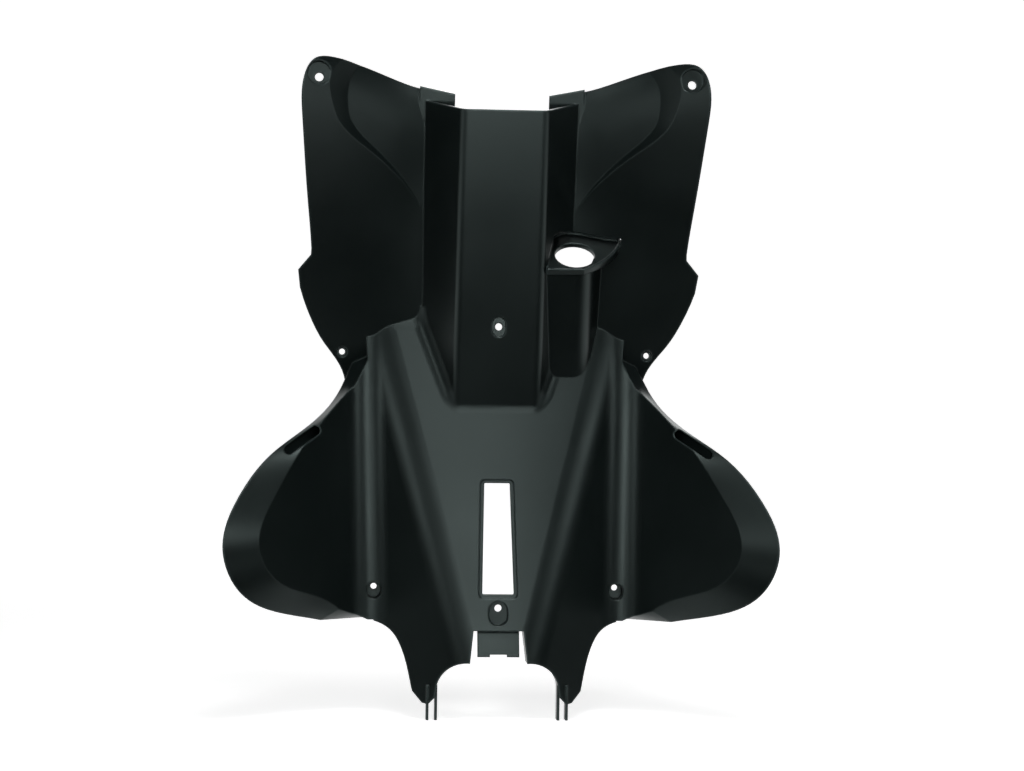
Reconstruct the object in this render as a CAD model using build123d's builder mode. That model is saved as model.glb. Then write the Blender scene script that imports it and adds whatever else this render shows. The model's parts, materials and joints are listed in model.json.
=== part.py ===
# Inner leg shield of an underbone scooter: one moulded plastic shell.
# Millimetres, +Z up, the rider's side faces -Y, X runs across the scooter.
# The origin is the seat of the column screw, on the centre line of the tunnel.
import os
from math import cos, radians, sin, sqrt, tan

from build123d import *

# Wall and edges
wall = 3.0
wing_flange = 16.0
body_flange = 21.0
back = 200.0
front = 200.0

# Steering-column tunnel: raked toward the rider at its top
rake = 0.26
seat_depth = 4.0
tunnel_top = 176.5
tunnel_foot = -100.0
tunnel_half = 35.0
tunnel_root = 65.0
tunnel_proud = 46.0
tunnel_round = 8.0

# Wings: they follow the rake, come forward toward their outer edges and roll back at the top
wing_sweep = 52.0
sweep_start = -70.0
wing_roll = 13.0
roll_start = 186.0
wing_inner = 62.0
wing_edge = [
    (157.7, 63),
    (161.2, 104),
    (165.8, 168),
    (164.7, 197),
    (155, 213.5),
    (138, 215.5),
    (90, 203.5),
    (69, 198),
]
wing_heights = [-80, 40, 140, 186, 212, 240]
wing_stations = [0, 58, 100, 140, 190]

# Sunk panel in each wing: its ramp fades out at the lower tip beside the tunnel
panel_x = 131.0
panel_z = 159.0
panel_y = -34.8
panel_turn = 0.525
panel_lean = 0.245
panel_inner = 30.0
panel_tip = 64.0
panel_fade = 3.5
panel_ramp = 58.0
panel_round = 14.0

# Key pod, on the right side only
pod_rake = 0.375
pod_front = 7.6
pod_nose = 76.0
pod_side = 93.0
pod_round = 18.0
pod_foot = -80.0
key_tilt = 50.6
key_at = (63.8, 3.0, 61.3)
key_r = 17.0
key_way = 22.0
leaf_slab = 4.0
leaf_lip = 2.0
leaf_lip_rise = 1.5

# Lower body: a flat raked spine that bends into the shoulders, a flank falling from each of its edges
# and a foot well beside that
spine_at = (40.0, 8.0)
spine_rake = 0.333
spine_edge_top = (104.0, 10.0)
spine_edge_foot = (34.0, -251.0)
flank_fall = 0.667
spine_round = 48.0
shoulder_round = 40.0
fold_round = 14.0
fold_top = -20.0
well_round = 26.0
well_zone = (80.0, 130.0)
body_top = 70.0
body_foot = -316.0

# Screw recesses: across, up, recess width and height, depth of the seat, hole radius, rise of the hole
floor = 4.0
column_screw = (0.0, 0.0, 12.0, 17.0, 0.0, 3.0, 0.0)
centre_screw = (0.0, -237.0, 16.0, 20.0, -36.0, 3.0, 4.0)
side_screw = (102.0, -222.0, 12.0, 14.0, 13.0, 2.6, 2.5)
waist_screw = (131.0, -22.0, 9.0, 9.0, 46.0, 2.5, 0.0)
top_bolt = (152.5, 202.0, 19.0, 19.0, -59.0, 3.5, -3.0)

# Rim pockets for the screws of the outer cover
rim_pocket = (163.0, -96.5)
rim_pocket_long = 34.0
rim_pocket_wide = 8.0
rim_pocket_turn = -36.0
rim_pocket_depth = 15.0

# Slot in the spine: a shallow recess with a narrower opening through it
slot_top = -128.0
slot_foot = -225.0
slot_half_top = 13.9
slot_half_foot = 16.2
slot_recess = 2.5
slot_ledge = 3.2

# Tab between the legs and the clip prongs at the legs' tips
leg_gap_top = -251.0
tab_half = 17.2
tab_foot = -272.0
tab_set = 4.5
tab_notch = 14.0
prong_xs = (50.5, 57.5)
prong_thick = 2.2
prong_deep = 12.0
prong_top = -296.0
prong_foot = -325.0
prong_y = -40.0

# Ears beside the tunnel's top
ear_inner = 39.5
ear_outer = 69.0
ear_top = 200.0
ear_foot = 178.0
ear_rise = 6.0

# Lobes: slanted plates from the foot well out to a crest, with a rim that falls back outside it
lobe_depth = 163.9
lobe_slant = 1.05
lobe_fall = 0.2
rim_fall = 16.0
rim_wall = 14.4
outer_edge = [
    (129, -47),
    (152.5, -80),
    (189, -109),
    (213, -142),
    (223.8, -185),
    (214, -212),
    (179.3, -236),
    (146, -245),
]
crest_edge = [
    (120, -51),
    (138.5, -71),
    (164, -107.5),
    (181.3, -140),
    (192.8, -184.5),
    (184, -203.5),
    (154, -221),
    (129.5, -235.5),
]
outer_waist = (115, -17)
crest_waist = (109, -28)


def tunnel_face(z):
    """Depth of the tunnel's front face at a height."""
    return -rake * z - seat_depth


def wing_face(x, z):
    """Depth of the wing's front surface."""
    out = max(abs(x) - 50, 0) / 125
    sweep = wing_sweep * (sweep_start - z) / 180
    roll = wing_roll * (max(z - roll_start, 0) / 34) ** 2
    return tunnel_face(z) + tunnel_proud + sweep * out**1.4 + roll


def lobe_face(x, z):
    """Depth of the slanted plate of a lobe."""
    return lobe_depth - lobe_slant * abs(x) + lobe_fall * z


def spine_depth(z):
    """Depth of the spine's flat at a height."""
    return spine_at[0] + spine_rake * (z - spine_at[1])


def level_block(sections):
    """Solid from a lofted front surface to a flat back; each section is a height and its right half."""
    with BuildPart() as block:
        for z, half in sections:
            points = [(-x, y) for x, y in reversed(half[1:])] + half
            edge = half[-1][0]
            shares = [(x + edge) / (2 * edge) for x, y in points]
            with BuildSketch(Plane.XY.offset(z)):
                with BuildLine():
                    add(Edge.make_spline(points, parameters=shares))
                    Polyline(points[-1], (edge, back), (-edge, back), points[0])
                make_face()
        loft()
    return block.part


def wing_block(inset):
    """Everything behind the wing surface."""
    return level_block([(z, [(x, wing_face(x, z) + inset) for x in wing_stations]) for z in wing_heights])


def spine_profile(inset):
    """Side view of everything behind the spine and the shoulders above it, with a round bend between."""
    lean = inset * sqrt(1 + spine_rake**2)
    tilt = inset * sqrt(1 + rake**2)
    gap = tunnel_face(0) + tunnel_proud + tilt - spine_depth(0) - lean
    fold = gap / (spine_rake + rake)
    corner = (spine_depth(fold) + lean, fold)
    foot = (spine_depth(body_foot) + lean, body_foot)
    top = (tunnel_face(body_top) + tunnel_proud + tilt, body_top)
    with BuildSketch(Plane.YZ) as side:
        with BuildLine():
            Polyline(foot, corner, top, (back, body_top), (back, body_foot), close=True)
        make_face()
        bend = side.vertices().sort_by_distance((*corner, 0))[0]
        fillet(bend, shoulder_round + inset)
    return side.sketch


def body_block(inset):
    """Everything behind the lower body's surface: spine, flanks and lobe plates, rounded where they meet."""
    (x_top, z_top), (x_foot, z_foot) = spine_edge_top, spine_edge_foot
    y_top, y_foot = spine_depth(z_top), spine_depth(z_foot)
    climb = (y_top - y_foot - flank_fall * (x_top - x_foot)) / (z_top - z_foot)
    middle = (body_top + body_foot) / 2
    tall = body_top - body_foot
    wide = back + front
    with BuildPart() as block:
        extrude(spine_profile(inset), amount=wide, both=True)
        for side in (1, -1):
            flank = Plane(origin=(side * x_top, y_top, z_top), z_dir=(side * flank_fall, -1, climb))
            split(bisect_by=flank.offset(-inset), keep=Keep.BOTTOM)
            edges = block.faces().filter_by(flank).edges()
            front_edges = edges.filter_by(lambda e: e.bounding_box().max.Y < back - 1)
            fillet(front_edges.filter_by(lambda e: e.bounding_box().size.Z > 1), spine_round - inset)
        for side in (1, -1):
            with BuildPart(mode=Mode.PRIVATE) as plate:
                with Locations((0, 0, middle)):
                    Box(2 * wide, 2 * back, tall)
                at = (side * x_top, lobe_face(x_top, z_top), z_top)
                slant = Plane(origin=at, z_dir=(-side * lobe_slant, -1, lobe_fall))
                split(bisect_by=slant.offset(-inset), keep=Keep.BOTTOM)
            add(plate.part)
        straight = block.edges().filter_by(GeomType.LINE).filter_by(lambda e: e.length > 300)
        wells = straight.filter_by(lambda e: well_zone[0] < abs(e.center().X) < well_zone[1])
        fillet(wells, well_round + inset)
    return block.part


def moved(points, grow):
    """Right-half outline points moved outward by an amount; the first and last stay on the centre line."""
    turn = 1 if points[0][1] < points[-1][1] else -1
    out = []
    for i, (x, z) in enumerate(points):
        before = points[i - 1] if i else (-points[1][0], points[1][1])
        after = points[i + 1] if i + 1 < len(points) else (-points[-2][0], points[-2][1])
        a = Vector(x - before[0], z - before[1]).normalized()
        b = Vector(after[0] - x, after[1] - z).normalized()
        normal = Vector(a.Y + b.Y, -a.X - b.X) * turn
        reach = grow / max(normal.length / 2, 0.5)
        normal = normal.normalized()
        out.append((x + normal.X * reach if x else 0, z + normal.Y * reach))
    return out


def moved_runs(runs, grow):
    """The runs of an outline, each a kind and its points, moved outward together."""
    chain = moved([runs[0][1][0]] + [p for kind, pts in runs for p in pts[1:]], grow)
    out = []
    at = 0
    for kind, pts in runs:
        out.append((kind, chain[at : at + len(pts)]))
        at += len(pts) - 1
    return out


def draw(runs):
    """Draws the runs of an outline in the active line builder."""
    for kind, pts in runs:
        if kind == "curve":
            Spline(*pts)
        elif kind == "arc":
            ThreePointArc(*pts)
        else:
            Polyline(*pts)


def sheet_from(runs):
    """Symmetric face from the right half of an outline."""
    with BuildSketch() as sheet:
        with BuildLine():
            draw(runs)
            mirror(about=Plane.YZ)
        make_face()
    return sheet.sketch


def wing_runs(grow):
    """Right half of the wings' outline, seen by the rider."""
    runs = [
        ("line", [(0, -62), (112, -62), (128, -48)]),
        ("curve", [(128, -48), (135.7, -29), (147, -14), (158, 6), (167, 31)]),
        ("line", [(167, 31), (168.5, 45.5), (158, 58), wing_edge[0]]),
        ("curve", wing_edge),
        ("line", [wing_edge[-1], (wing_inner, 191), (wing_inner, 178), (0, 168)]),
    ]
    return moved_runs(runs, grow)


def body_runs(edge, waist, grow):
    """Right half of the lower body's outline with its leg; the lobe follows the given edge."""
    runs = [
        ("line", [(0, 22), (112, 14), waist, edge[0]]),
        ("curve", edge),
        ("line", [edge[-1], (107, -246)]),
        ("curve", [(107, -246), (96, -249), (88, -254), (79, -268), (73, -288), (70, -302)]),
        ("line", [(70, -302), (62, -311), (57, -312), (51.5, -306), (50, -296)]),
        ("arc", [(50, -296), (43, -284), (23.5, -277)]),
        ("line", [(23.5, -277), (20.5, leg_gap_top), (0, leg_gap_top)]),
    ]
    return moved_runs(runs, grow)


def lobe_section(edge, waist, grow, lift):
    """Outline of the right lobe on its slanted plate, lifted off the plate by a depth."""
    runs = body_runs(edge, waist, grow)
    top = (98, runs[0][1][1][1])
    foot = (98, runs[2][1][-1][1])
    runs = [("line", [top] + runs[0][1][1:]), runs[1], ("line", runs[2][1] + [foot, top])]
    with BuildLine() as loop:
        draw([(kind, [(x, lobe_face(x, z) + lift, z) for x, z in pts]) for kind, pts in runs])
    return Face(Wire(loop.edges()))


def body_prism(skin):
    """Space inside the lower outline: straight at the spine and legs, bevelled at the lobes' rims."""
    crest = lobe_section(crest_edge, crest_waist, -skin, skin - 1)
    outer = lobe_section(outer_edge, outer_waist, -skin, skin + rim_fall)
    with BuildPart() as part:
        with BuildSketch(Plane.XZ.offset(-back)):
            add(sheet_from(body_runs(crest_edge, crest_waist, -skin)))
            Rectangle(2 * 102, 4 * back, mode=Mode.INTERSECT)
        extrude(amount=back + front)
        with BuildPart(mode=Mode.PRIVATE) as lobe:
            loft([crest, outer], ruled=True)
            extrude(crest, amount=front, dir=(0, -1, 0))
            extrude(outer, amount=back if skin else rim_wall, dir=(0, 1, 0))
        add(lobe.part)
        add(lobe.part.mirror(Plane.YZ))
    return part.part


def panel_section(lift, inset):
    """Outline of the right sunk panel on its slanted plane; higher sections are wider."""
    move = lift * tan(radians(panel_ramp)) + inset
    rise = (panel_z - panel_tip) / (panel_x - panel_inner)
    x = panel_x + move
    z_in = panel_tip - move * sqrt(1 + rise**2)
    z_out = z_in + rise * (x - panel_inner)

    def place(x, z):
        return (x, panel_y - panel_turn * (x - panel_x) - panel_lean * (z - panel_z) - lift + inset, z)

    turn_in = place(x - panel_round, z_out - rise * panel_round)
    turn_out = place(x, z_out + panel_round)
    with BuildLine() as loop:
        Polyline(turn_out, place(x, 262), place(panel_inner, 262), place(panel_inner, z_in), turn_in)
        Bezier(turn_in, place(x, z_out), turn_out)
    return Face(Wire(loop.edges()))


def panel_tool(inset):
    """Space of both sunk panels in front of their floor."""
    low = panel_section(-12.0, inset)
    high = panel_section(10.0, inset)
    with BuildPart() as tool:
        loft([low, high], ruled=True)
        axis = Axis((0, wing_face(66, 99) + inset, 99), (1, 0, 0))
        add(wing_block(inset).rotate(axis, -panel_fade), mode=Mode.SUBTRACT)
        mirror(about=Plane.YZ)
    return tool.part


def tunnel(skin):
    """Tunnel: a raked channel with rounded front edges; the hollow runs out of the top."""
    slope = (tunnel_root - tunnel_half) / tunnel_proud
    side = tunnel_half + slope * skin - skin * sqrt(1 + slope**2)
    deep = tunnel_proud + (50 if skin else 12)
    root = side + slope * deep
    top = tunnel_top + (60 if skin else 0)
    end = Plane(origin=(0, tunnel_face(top), top), x_dir=(1, 0, 0), z_dir=(0, -rake, 1))
    with BuildPart() as part:
        with BuildSketch(end) as channel:
            with BuildLine():
                Polyline((side, skin), (root, skin + deep), (-root, skin + deep), (-side, skin), close=True)
            make_face()
            fillet(channel.vertices().sort_by(Axis.Y)[:2], tunnel_round - skin)
        extrude(amount=(tunnel_foot - top) * sqrt(1 + rake**2))
    return part.part


def wing(skin):
    """Both wings as a block behind their surface, with the sunk panels."""
    with BuildPart() as part:
        add(wing_block(skin))
        with BuildSketch(Plane.XZ.offset(-back)):
            add(sheet_from(wing_runs(-skin)))
        extrude(amount=back + front, mode=Mode.INTERSECT)
        add(panel_tool(skin), mode=Mode.SUBTRACT)
    return part.part


def body(skin):
    """Spine, foot wells, lobes and legs as a block behind their surface."""
    with BuildPart() as part:
        add(body_block(skin))
        add(body_prism(skin), mode=Mode.INTERSECT)
    return part.part


key_axis = (0, -cos(radians(key_tilt)), sin(radians(key_tilt)))
key_plane = Plane(origin=key_at, x_dir=(1, 0, 0), z_dir=key_axis)


def pod(skin):
    """Key pod below its tilted flat, raked a little more than the tunnel."""
    foot = (0, pod_front - pod_rake * pod_foot, pod_foot)
    end = Plane(origin=foot, x_dir=(1, 0, 0), z_dir=(0, -pod_rake, 1))
    nose = pod_nose - 0.7 * skin
    side = pod_side - 1.1 * skin
    with BuildPart() as part:
        with BuildSketch(end) as plan:
            with BuildLine():
                Polyline((0, skin), (nose, skin), (side, skin + 44), (side, 75), (0, 75), close=True)
            make_face()
            fillet(plan.vertices().sort_by(Axis.Y)[:2].sort_by(Axis.X)[-1], pod_round - skin)
        extrude(amount=220)
        split(bisect_by=key_plane.offset(-skin), keep=Keep.BOTTOM)
    return part.part


def leaf(grow):
    """Outline of the key flat in its own plane."""
    with BuildSketch() as sheet:
        with BuildLine():
            Polyline((-19 - grow, 24 + grow), (-25.6 - grow, -22.5 - grow), (6, -22 - grow))
            Spline((6, -22 - grow), (24 + grow, -10 - grow), (40 + grow, 17))
            Line((40 + grow, 17), (40 + grow, 24 + grow))
            Spline((40 + grow, 24 + grow), (20, 27 + grow), (-6, 32 + grow), (-19 - grow, 24 + grow))
        make_face()
    return sheet.sketch


def leaf_space(grow):
    """Space in front of the key flat, open toward the rider."""
    with BuildPart() as part:
        with BuildSketch(key_plane.offset(-grow)) as flat:
            add(leaf(grow))
        extrude(flat.sketch, amount=front, dir=(0, -1, 0))
    return part.part


def both_sides(x, z):
    """Places of a feature: on the centre line once, off it on both sides."""
    return [(x, z), (-x, z)] if x else [(x, z)]


def oval(wide, tall):
    """Upright oval, or a circle where both sizes agree."""
    if tall > wide:
        SlotOverall(tall, wide, rotation=90)
    else:
        Circle(wide / 2)


def rim_pockets(grow):
    """Space of both rim pockets in front of a floor along the lobe's slant, or of the square pads behind."""
    x, z = rim_pocket
    at = (x, lobe_face(x, z) + rim_pocket_depth + grow, z)
    with BuildPart() as part:
        with BuildSketch(Plane.XZ.offset(-back)):
            with Locations(rim_pocket):
                if grow:
                    Rectangle(rim_pocket_long + 2 * grow, rim_pocket_wide + 2 * grow, rim_pocket_turn)
                else:
                    SlotOverall(rim_pocket_long, rim_pocket_wide, rim_pocket_turn)
        extrude(amount=back + front)
        split(bisect_by=Plane(origin=at, z_dir=(-lobe_slant, -1, lobe_fall)), keep=Keep.TOP)
        mirror(about=Plane.YZ)
    return part.part


def screw_keep():
    """Solid left behind each screw recess: a square pad that holds its floor and walls."""
    with BuildPart() as part:
        for x, z, wide, tall, seat, r, up in screws:
            with BuildSketch(Plane.XZ.offset(-seat - floor)):
                with Locations(*both_sides(x, z)):
                    Rectangle(wide + 2 * wall, tall + 2 * wall)
            extrude(amount=back)
        add(rim_pockets(wall))
    return part.part


def screw_cuts():
    """Recesses and through holes of all the screws, and the rim pockets."""
    with BuildPart() as part:
        for x, z, wide, tall, seat, r, up in screws:
            with BuildSketch(Plane.XZ.offset(-seat)):
                with Locations(*both_sides(x, z)):
                    oval(wide, tall)
            extrude(amount=front)
            with BuildSketch(Plane.XZ.offset(-seat - floor - 1)):
                with Locations(*both_sides(x, z + up)):
                    Circle(r)
            extrude(amount=floor + 2)
        add(rim_pockets(0))
    return part.part


def slot_space(grow, depth, length):
    """Space in front of a slot outline laid on the spine at a depth behind its surface."""
    top = slot_top + grow
    foot = slot_foot - grow
    half_top = slot_half_top + grow
    half_foot = slot_half_foot + grow
    corners = [(half_top, top), (half_foot, foot), (-half_foot, foot), (-half_top, top)]
    with BuildLine() as loop:
        Polyline(*[(x, spine_depth(z) + depth, z) for x, z in corners], close=True)
    with BuildPart() as part:
        extrude(Face(Wire(loop.edges())), amount=length, dir=(0, -1, 0))
        fillet(part.edges().filter_by(Axis.Y), max(4 + grow, 1))
    return part.part


screws = [column_screw, centre_screw, side_screw, waist_screw, top_bolt]

with BuildPart() as hollow:
    add(wing(wall))
    add(tunnel(wall))
    add(pod(wall))
    add(body(wall))
    add(leaf_space(wall), mode=Mode.SUBTRACT)
    add(screw_keep(), mode=Mode.SUBTRACT)
    add(slot_space(wall, slot_recess + wall, front), mode=Mode.SUBTRACT)

with BuildPart() as lower:
    add(body(0))
    add(tunnel(0))
    folds = lower.edges(Select.NEW).filter_by(lambda e: e.center().Z < fold_top)
    fillet(folds, fold_round)
    add(body_block(body_flange), mode=Mode.SUBTRACT)

with BuildPart() as leg_shield:
    # Outer forms, hollowed from behind
    add(wing(0))
    add(wing_block(wing_flange), mode=Mode.SUBTRACT)
    add(lower.part)
    add(pod(0))
    add(hollow.part, mode=Mode.SUBTRACT)
    # Key flat with its raised rim and the key hole
    add(leaf_space(0), mode=Mode.SUBTRACT)
    with BuildSketch(key_plane):
        add(leaf(0))
    extrude(amount=-leaf_slab)
    with BuildSketch(key_plane):
        add(leaf(0))
        add(leaf(-leaf_lip), mode=Mode.SUBTRACT)
    extrude(amount=leaf_lip_rise)
    with BuildSketch(key_plane.offset(-leaf_slab)):
        Circle(key_r)
    extrude(amount=leaf_slab + key_way, mode=Mode.SUBTRACT)
    # Slot, screw recesses and rim pockets
    add(slot_space(0, slot_recess, front), mode=Mode.SUBTRACT)
    add(slot_space(-slot_ledge, slot_recess + 8, front), mode=Mode.SUBTRACT)
    add(screw_cuts(), mode=Mode.SUBTRACT)
    # Centre tab, set back from the spine
    tab_top = leg_gap_top + wall - 1
    y_top = spine_depth(tab_top) + tab_set
    y_foot = spine_depth(tab_foot) + tab_set
    with BuildSketch(Plane.YZ.offset(-tab_half)):
        with BuildLine():
            Polyline((y_top, tab_top), (y_foot, tab_foot), (y_foot + wall, tab_foot), (y_top + wall, tab_top))
            Line((y_top + wall, tab_top), (y_top, tab_top))
        make_face()
    extrude(amount=2 * tab_half)
    with Locations((0, y_foot, tab_foot)):
        Box(tab_notch, 4 * wall, 4.0, mode=Mode.SUBTRACT)
    # Clip prongs
    for x in prong_xs:
        for side in (1, -1):
            with Locations((side * x, prong_y + prong_deep / 2, (prong_foot + prong_top) / 2)):
                Box(prong_thick, prong_deep, prong_top - prong_foot)
    # Ears: plates at the foot of the tunnel's walls, leaning with them
    root = (0, tunnel_face(0) + tunnel_proud, 0)
    with BuildSketch(Plane(origin=root, x_dir=(1, 0, 0), z_dir=(0, -1, -rake))):
        with BuildLine():
            Polyline((ear_inner, ear_top), (ear_inner, ear_foot), (ear_outer, ear_foot))
            Polyline((ear_outer, ear_foot), (ear_outer, ear_top + ear_rise), (ear_inner, ear_top))
        make_face()
        mirror(about=Plane.YZ)
    extrude(amount=-wall)

leg_shield.part.label = "leg_shield"
os.makedirs("parts", exist_ok=True)
export_step(leg_shield.part, "parts/leg_shield.step")
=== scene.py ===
# %% [markdown]
# # A scooter leg shield in black moulded plastic
# The shield is one injection moulding: two upper wings, a tunnel over the steering column, a pod with a
# flat for the ignition lock, a raked spine, two foot wells and a forked foot. Its whole form comes from
# the imported CAD part, so this lesson gives it a finish, a studio and a camera. The part is loaded first,
# and its box is kept.

# %% Load the part
import json
import math

import bpy
from mathutils import Matrix, Vector

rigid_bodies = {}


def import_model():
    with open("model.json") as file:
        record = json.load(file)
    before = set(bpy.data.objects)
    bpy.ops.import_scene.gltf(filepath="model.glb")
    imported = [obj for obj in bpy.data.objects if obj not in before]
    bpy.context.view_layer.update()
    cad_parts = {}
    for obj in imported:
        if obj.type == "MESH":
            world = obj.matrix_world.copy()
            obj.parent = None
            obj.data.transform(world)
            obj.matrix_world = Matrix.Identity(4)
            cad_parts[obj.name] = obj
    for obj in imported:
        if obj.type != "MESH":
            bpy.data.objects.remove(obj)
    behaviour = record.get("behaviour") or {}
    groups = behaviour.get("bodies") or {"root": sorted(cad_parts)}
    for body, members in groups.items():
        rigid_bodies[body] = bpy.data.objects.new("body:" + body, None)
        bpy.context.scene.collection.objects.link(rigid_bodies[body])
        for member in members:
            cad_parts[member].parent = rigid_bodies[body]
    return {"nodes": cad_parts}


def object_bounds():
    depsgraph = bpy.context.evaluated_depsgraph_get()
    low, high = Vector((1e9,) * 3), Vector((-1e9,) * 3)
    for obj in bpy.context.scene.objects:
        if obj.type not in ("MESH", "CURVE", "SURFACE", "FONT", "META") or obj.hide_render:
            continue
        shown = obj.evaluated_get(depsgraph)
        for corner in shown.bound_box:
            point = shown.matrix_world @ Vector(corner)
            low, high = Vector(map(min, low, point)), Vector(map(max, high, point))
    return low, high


for left_over in list(bpy.data.objects):
    bpy.data.objects.remove(left_over)

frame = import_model()
cad_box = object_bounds()
shield = frame["nodes"]["leg_shield"]
print("shield box in metres:", [tuple(round(v, 4) for v in corner) for corner in cad_box])

# %% [markdown]
# Three small helpers serve every finish. A colour is written as the hex value that one would pick from a
# swatch, and is turned to the linear values that the renderer works in. A node is added with its
# settings and its links in one call, so each finish reads as a short list.

# %% Helpers for finishes
MM = 0.001


def linear(hex_colour):
    """Turns an sRGB hex colour into linear RGBA."""
    channels = [int(hex_colour[i:i + 2], 16) / 255 for i in (1, 3, 5)]
    values = [c / 12.92 if c <= 0.04045 else ((c + 0.055) / 1.055) ** 2.4 for c in channels]
    return (*values, 1.0)


def add_node(tree, kind, settings=None, values=None, links=None):
    """Adds one node, sets its properties and socket values, and links sockets into it."""
    node = tree.nodes.new(kind)
    for name, value in (settings or {}).items():
        setattr(node, name, value)
    for socket, value in (values or {}).items():
        node.inputs[socket].default_value = value
    for socket, source in (links or {}).items():
        tree.links.new(source, node.inputs[socket])
    return node


def new_finish(name):
    """Makes an empty node material and returns it with its tree."""
    finish = bpy.data.materials.new(name)
    finish.use_nodes = True
    finish.node_tree.nodes.clear()
    return finish, finish.node_tree


print("mid grey #808080 is", [round(v, 3) for v in linear("#808080")], "in linear light")

# %% [markdown]
# The shield is polypropylene, moulded in a steel tool whose walls were etched with a fine grain. The
# grain scatters light, so the eye sees broad soft sheens and no mirror image. A picture of grain could
# be wrapped round the part, but it would stretch in the deep wells, so a noise in the part's own space
# is used. A real grain of about 0.25 mm is too fine to show at this distance, so it is drawn at about
# 0.9 mm. Cooling also leaves the sheen a little uneven over patches the width of a hand.

# %% Grain and sheen patches
GRAIN_MM = 0.9
SHEEN_PATCH_MM = 70.0
SMOOTHEST = 0.30
ROUGHEST = 0.36
NOISE_LOW, NOISE_HIGH = 0.3, 0.7  # a noise seldom leaves this range

plastic, tree = new_finish("black_moulded_polypropylene_fine_grain")
place = add_node(tree, "ShaderNodeTexCoord").outputs["Object"]
grain = add_node(
    tree, "ShaderNodeTexNoise",
    values={"Scale": 1 / (GRAIN_MM * MM), "Detail": 2.0, "Roughness": 0.6},
    links={"Vector": place},
)
patches = add_node(
    tree, "ShaderNodeTexNoise",
    values={"Scale": 1 / (SHEEN_PATCH_MM * MM), "Detail": 3.0, "Roughness": 0.5},
    links={"Vector": place},
)
sheen = add_node(
    tree, "ShaderNodeMapRange",
    values={"From Min": NOISE_LOW, "From Max": NOISE_HIGH, "To Min": SMOOTHEST, "To Max": ROUGHEST},
    links={"Value": patches.outputs["Fac"]},
)
print("grain of", GRAIN_MM, "mm and sheen patches of", SHEEN_PATCH_MM, "mm")

# %% [markdown]
# The pigment is a near-black with a faint green-blue cast, and it is a shade paler where the sheen
# patches are rough. The outer edges get a painted highlight: a paler colour that stands in for the thin
# light lines which their small roundings catch. Such edges could be painted by hand, but a short look
# into the plastic finds them all: near an outer edge, rays that go inward soon come out again. The look
# reaches less than the wall's 3 mm, so the far side of the wall doesn't count.

# %% Pigment and painted edge highlights
BLACK = "#080d0d"
BLACK_ROUGH = "#0c1212"
# painted highlight: a paler colour on the outer edges, in place of the light lines they catch
BLACK_EDGE_HIGHLIGHT = "#2a3232"
EDGE_HIGHLIGHT_REACH_MM = 2.0
EDGE_HIGHLIGHT_LOOKS = 8
EDGE_HIGHLIGHT_STARTS, EDGE_HIGHLIGHT_FULL = 0.9, 0.5  # share of the inward rays that stay inside

pigment = add_node(
    tree, "ShaderNodeMix", {"data_type": "RGBA"},
    values={"A": linear(BLACK), "B": linear(BLACK_ROUGH)},
    links={"Factor": patches.outputs["Fac"]},
)
inside_room = add_node(
    tree, "ShaderNodeAmbientOcclusion", {"inside": True, "only_local": True, "samples": EDGE_HIGHLIGHT_LOOKS},
    values={"Distance": EDGE_HIGHLIGHT_REACH_MM * MM},
)
# mask of the painted edge highlight, from the share of inward rays that stay inside the plastic
painted_edge_highlight = add_node(
    tree, "ShaderNodeMapRange",
    values={"From Min": EDGE_HIGHLIGHT_STARTS, "From Max": EDGE_HIGHLIGHT_FULL},
    links={"Value": inside_room.outputs["AO"]},
)
# the painted highlight is mixed into the pigment along the outer edges
pigment_with_painted_highlight = add_node(
    tree, "ShaderNodeMix", {"data_type": "RGBA"},
    values={"B": linear(BLACK_EDGE_HIGHLIGHT)},
    links={"Factor": painted_edge_highlight.outputs["Result"], "A": pigment.outputs["Result"]},
)
print("pigment from", BLACK, "to", BLACK_EDGE_HIGHLIGHT, "on painted edge highlights")

# %% [markdown]
# A mould never gives a razor edge: every corner is rounded by a millimetre or two, and that rounding
# draws the thin light lines along the lips and rims. Rounding each edge in the mesh would cost many
# faces, so a bevel in the shading turns the light there, and the grain is laid over it as a bump.
# Polypropylene has an IOR of 1.49, and the sheen takes the faint green-blue cast of the pigment.

# %% Black moulded polypropylene with fine grain
EDGE_RADIUS_MM = 2.0
EDGE_LOOKS = 6
GRAIN_DEPTH_MM = 0.12
GRAIN_STRENGTH = 0.16
PLASTIC_IOR = 1.49
SHEEN_TINT = "#e8fffb"

edge = add_node(
    tree, "ShaderNodeBevel", {"samples": EDGE_LOOKS}, values={"Radius": EDGE_RADIUS_MM * MM},
)
relief = add_node(
    tree, "ShaderNodeBump",
    values={"Strength": GRAIN_STRENGTH, "Distance": GRAIN_DEPTH_MM * MM},
    links={"Height": grain.outputs["Fac"], "Normal": edge.outputs["Normal"]},
)
surface = add_node(
    tree, "ShaderNodeBsdfPrincipled",
    values={"IOR": PLASTIC_IOR, "Specular Tint": linear(SHEEN_TINT)},
    links={
        "Base Color": pigment_with_painted_highlight.outputs["Result"],
        "Roughness": sheen.outputs["Result"],
        "Normal": relief.outputs["Normal"],
    },
)
add_node(tree, "ShaderNodeOutputMaterial", links={"Surface": surface.outputs["BSDF"]})
for slot in shield.material_slots:
    slot.material = plastic
print("finish", plastic.name, "on", shield.name, "with", len(tree.nodes), "nodes")

# %% [markdown]
# The shield stands on the tips of its forks, on white paper that covers the floor and curves up into a
# wall far behind. A floor and a wall as two planes would show a line where they meet. One strip of
# quads bent round a quarter circle has no such line, and leaves room to walk round the shield.

# %% White paper sweep
SWEEP_HALF_WIDTH = 6.0
SWEEP_FRONT = -6.0
SWEEP_WALL = 6.0
SWEEP_RADIUS = 2.0
SWEEP_HEIGHT = 8.0
SWEEP_STEPS = 24

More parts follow.
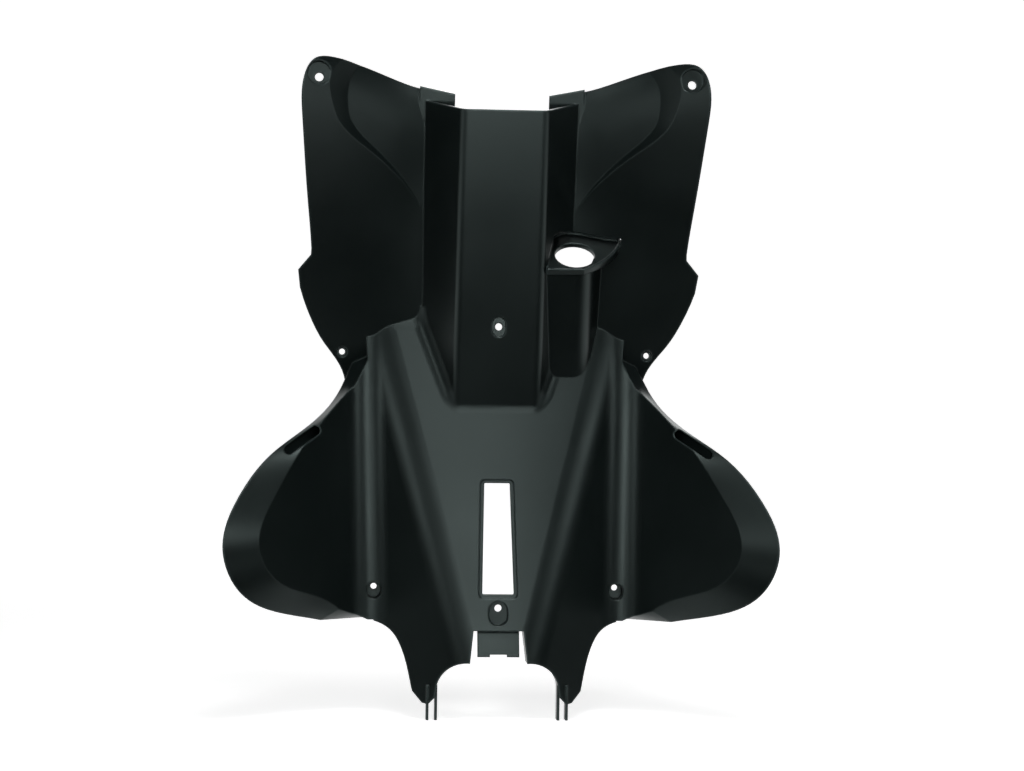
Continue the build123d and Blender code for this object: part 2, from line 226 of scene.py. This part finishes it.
floor_z = cad_box[0].z
profile = [(SWEEP_FRONT, floor_z)]
for i in range(SWEEP_STEPS + 1):
    turn = math.pi / 2 * i / SWEEP_STEPS
    profile.append((
        SWEEP_WALL - SWEEP_RADIUS + SWEEP_RADIUS * math.sin(turn),
        floor_z + SWEEP_RADIUS * (1 - math.cos(turn)),
    ))
profile.append((SWEEP_WALL, floor_z + SWEEP_HEIGHT))
corners = [(x, y, z) for y, z in profile for x in (-SWEEP_HALF_WIDTH, SWEEP_HALF_WIDTH)]
quads = [(2 * i, 2 * i + 1, 2 * i + 3, 2 * i + 2) for i in range(len(profile) - 1)]
sweep_mesh = bpy.data.meshes.new("paper_sweep")
sweep_mesh.from_pydata(corners, [], quads)
sweep_mesh.shade_smooth()
sweep = bpy.data.objects.new("paper_sweep", sweep_mesh)
bpy.context.collection.objects.link(sweep)
print("sweep with", len(quads), "quads at floor height", round(floor_z, 4))

# %% [markdown]
# Matte paper is lit by the lamps like any paper, so it takes the shield's shadow. More light would turn
# it white, but would wash out the black too, so the camera's rays get a steady white added to it: a
# little less than full near the shield, where the shadow falls, and full further out.

# %% White matte paper, as the camera sees it
PAPER_WHITE = "#e4e4e4"
LIGHT_WHITE = "#ffffff"
WHITE_NEAR = 0.76
WHITE_FULL = 1.0
NEAR_REACH = 0.8
FAR_REACH = 2.5

paper, tree = new_finish("white_matte_paper")
path = add_node(tree, "ShaderNodeLightPath")
place = add_node(tree, "ShaderNodeTexCoord").outputs["Object"]
from_shield = add_node(
    tree, "ShaderNodeVectorMath", {"operation": "DISTANCE"},
    values={1: (0.0, 0.0, floor_z)}, links={0: place},
)
steady_white = add_node(
    tree, "ShaderNodeMapRange", {"interpolation_type": "SMOOTHSTEP"},
    values={"From Min": NEAR_REACH, "From Max": FAR_REACH, "To Min": WHITE_NEAR, "To Max": WHITE_FULL},
    links={"Value": from_shield.outputs["Value"]},
)
sheet = add_node(tree, "ShaderNodeBsdfDiffuse", values={"Color": linear(PAPER_WHITE)})
white = add_node(
    tree, "ShaderNodeEmission",
    values={"Color": linear(LIGHT_WHITE)}, links={"Strength": steady_white.outputs["Result"]},
)
white_sheet = add_node(
    tree, "ShaderNodeAddShader", links={0: sheet.outputs["BSDF"], 1: white.outputs["Emission"]},
)
camera_sheet = add_node(
    tree, "ShaderNodeMixShader",
    links={0: path.outputs["Is Camera Ray"], 1: sheet.outputs["BSDF"], 2: white_sheet.outputs["Shader"]},
)
print("paper", PAPER_WHITE, "with white of", WHITE_NEAR, "near the shield and", WHITE_FULL, "further out")

# %% [markdown]
# The rays that make mirror images see the white paper too, so that the sheens take their light from it.
# In front of the shield, where the camera stands, the paper is in shade for them: in a studio a black
# card would lie there. That keeps the tunnel's foot and the wings' lower halves black, as they are.

# %% White matte paper, as the sheens see it
SHADE_STRETCH = (0.46, 0.6, 1.0)
SHADE_MIDDLE = (0.0, -0.54, floor_z)
SHADE_INSIDE = 0.36
SHADE_OUTSIDE = 0.6

stretched = add_node(
    tree, "ShaderNodeVectorMath", {"operation": "MULTIPLY"}, values={1: SHADE_STRETCH}, links={0: place},
)
from_shade = add_node(
    tree, "ShaderNodeVectorMath", {"operation": "DISTANCE"},
    values={1: SHADE_MIDDLE}, links={0: stretched.outputs["Vector"]},
)
mirrored_white = add_node(
    tree, "ShaderNodeMapRange", {"interpolation_type": "SMOOTHSTEP"},
    values={"From Min": SHADE_INSIDE, "From Max": SHADE_OUTSIDE},
    links={"Value": from_shade.outputs["Value"]},
)
mirror_ray = add_node(
    tree, "ShaderNodeMath", {"operation": "MAXIMUM"},
    links={0: path.outputs["Is Glossy Ray"], 1: path.outputs["Is Transmission Ray"]},
)
mirror_sheet = add_node(
    tree, "ShaderNodeEmission",
    values={"Color": linear(LIGHT_WHITE)}, links={"Strength": mirrored_white.outputs["Result"]},
)
shown = add_node(
    tree, "ShaderNodeMixShader",
    links={
        0: mirror_ray.outputs["Value"],
        1: camera_sheet.outputs["Shader"],
        2: mirror_sheet.outputs["Emission"],
    },
)
add_node(tree, "ShaderNodeOutputMaterial", links={"Surface": shown.outputs["Shader"]})
sweep_mesh.materials.append(paper)
print("finish", paper.name, "with", len(tree.nodes), "nodes")

# %% [markdown]
# The light is that of a product table. A black part shows only what it mirrors, so each soft box is
# there for a sheen: one in front for the flanks beside the spine, a narrow strip close to the spine, so
# that its sheen fades to both sides, one high up for the folds round the tunnel's foot, two small ones
# at the sides for the rims of the lobes, and a low strip for the tunnel and the wings, which lean down.
# A box behind shows the back of the shell. One big dome of light would be quicker, but it would turn
# the black to grey.

# %% Soft boxes
def soft_box(name, place, aim, width, height, power):
    """Adds a rectangular soft box that faces a point and isn't in the picture itself."""
    lamp = bpy.data.lights.new(name, "AREA")
    lamp.shape = "RECTANGLE"
    lamp.size = width
    lamp.size_y = height
    lamp.energy = power
    box = bpy.data.objects.new(name, lamp)
    box.location = place
    box.rotation_euler = (Vector(aim) - Vector(place)).to_track_quat("-Z", "Y").to_euler()
    box.visible_camera = False
    bpy.context.collection.objects.link(box)


TUNNEL = (0.0, 0.0, 0.1)
CHEST = (0.0, 0.0, -0.05)
WAIST = (0.0, 0.0, -0.1)
SPINE = (0.0, -0.03, -0.17)
SIDE, AHEAD, RAISED = 1.06, -1.06, 0.5

soft_box("front_box", place=(-0.15, -1.4, 0.36), aim=WAIST, width=0.8, height=0.3, power=1.6)
soft_box("spine_strip", place=(0.0, -0.509, 0.191), aim=SPINE, width=0.08, height=0.6, power=0.69)
soft_box("top_box", place=(0.16, -0.66, 1.4), aim=CHEST, width=0.6, height=0.5, power=10.0)
for name, x in (("left_box", -SIDE), ("right_box", SIDE)):
    soft_box(name, place=(x, AHEAD, RAISED), aim=CHEST, width=0.35, height=0.35, power=1.4)
soft_box("low_strip", place=(0.0, -1.9, -0.28), aim=TUNNEL, width=1.2, height=0.1, power=4.0)
soft_box("back_box", place=(0.5, 1.7, 1.1), aim=CHEST, width=1.2, height=0.8, power=8.0)

# %% [markdown]
# The room is white for the camera in every direction, so the paper has no edge. For the sheens it is
# white only behind the shield, where grazing rays go, and dim elsewhere. A room that is white all round
# would put a grey veil over the wells.

# %% Room light
ROOM_LIGHT = 0.012
BEHIND_FROM = 0.3
BEHIND_TO = 0.7

room = bpy.data.worlds.new("white_room")
bpy.context.scene.world = room
room.use_nodes = True
tree = room.node_tree
tree.nodes.clear()
path = add_node(tree, "ShaderNodeLightPath")
way = add_node(tree, "ShaderNodeTexCoord").outputs["Generated"]
axes = add_node(tree, "ShaderNodeSeparateXYZ", links={"Vector": way})
behind = add_node(
    tree, "ShaderNodeMapRange", {"interpolation_type": "SMOOTHSTEP"},
    values={"From Min": BEHIND_FROM, "From Max": BEHIND_TO},
    links={"Value": axes.outputs["Y"]},
)
mirror_ray = add_node(
    tree, "ShaderNodeMath", {"operation": "MAXIMUM"},
    links={0: path.outputs["Is Glossy Ray"], 1: path.outputs["Is Transmission Ray"]},
)
mirrored_behind = add_node(
    tree, "ShaderNodeMath", {"operation": "MULTIPLY"},
    links={0: mirror_ray.outputs["Value"], 1: behind.outputs["Result"]},
)
seen_white = add_node(
    tree, "ShaderNodeMath", {"operation": "MAXIMUM"},
    links={0: path.outputs["Is Camera Ray"], 1: mirrored_behind.outputs["Value"]},
)
dim = add_node(
    tree, "ShaderNodeBackground", values={"Color": linear(LIGHT_WHITE), "Strength": ROOM_LIGHT},
)
white = add_node(
    tree, "ShaderNodeBackground", values={"Color": linear(LIGHT_WHITE), "Strength": WHITE_FULL},
)
shown = add_node(
    tree, "ShaderNodeMixShader",
    links={0: seen_white.outputs["Value"], 1: dim.outputs["Background"], 2: white.outputs["Background"]},
)
add_node(tree, "ShaderNodeOutputWorld", links={"Surface": shown.outputs["Shader"]})
print("room light", ROOM_LIGHT, "with white behind the shield")

# %% [markdown]
# The camera looks level at the shield, a touch from the left, so the left wall of the tunnel shows wider
# than the right one. It could be placed by eye, but one measured point is surer: a pixel covers 0.84 mm
# at the tunnel's screw, which sits a little left of the middle of the picture and above it. The frame
# is turned by less than a degree.

# %% Camera's place
PICTURE_WIDTH = 1024
PICTURE_HEIGHT = 771
PIXEL = 0.84 * MM
SCREW_PIXEL = (498, 327)
CAMERA_AZIMUTH = math.radians(-4.2)
CAMERA_ROLL = math.radians(-0.75)
CAMERA_DISTANCE = 2.0

to_camera = Vector((math.sin(CAMERA_AZIMUTH), -math.cos(CAMERA_AZIMUTH), 0.0))
level_right = Vector((math.cos(CAMERA_AZIMUTH), math.sin(CAMERA_AZIMUTH), 0.0))
level_up = Vector((0.0, 0.0, 1.0))
middle = (
    level_right * (PICTURE_WIDTH / 2 - SCREW_PIXEL[0]) * PIXEL
    - level_up * (PICTURE_HEIGHT / 2 - SCREW_PIXEL[1]) * PIXEL
)
right = level_right * math.cos(CAMERA_ROLL) - level_up * math.sin(CAMERA_ROLL)
up = level_up * math.cos(CAMERA_ROLL) + level_right * math.sin(CAMERA_ROLL)
view = Matrix((right, up, to_camera)).transposed().to_4x4()
view.translation = middle + to_camera * CAMERA_DISTANCE
print("camera at", [round(v, 3) for v in view.translation])

# %% [markdown]
# The lens follows from the distance and from the size of a pixel. At two metres it is a long one, so the
# near lobes look hardly bigger than the wings behind them, as in a catalogue picture.

# %% Lens
SENSOR_MM = 36.0
SIGHT = 100.0

lens = bpy.data.cameras.new("camera")
lens.sensor_fit = "HORIZONTAL"
lens.sensor_width = SENSOR_MM
lens.lens = SENSOR_MM * CAMERA_DISTANCE / (PICTURE_WIDTH * PIXEL)
lens.clip_end = SIGHT
camera = bpy.data.objects.new("camera", lens)
camera.matrix_world = view
bpy.context.collection.objects.link(camera)
bpy.context.scene.camera = camera
print("a lens of", round(lens.lens, 1), "mm")

# %% [markdown]
# The colours are shown as they are written, so the view transform is the plain one.

# %% Show and finish
bpy.context.scene.view_settings.view_transform = "Standard"
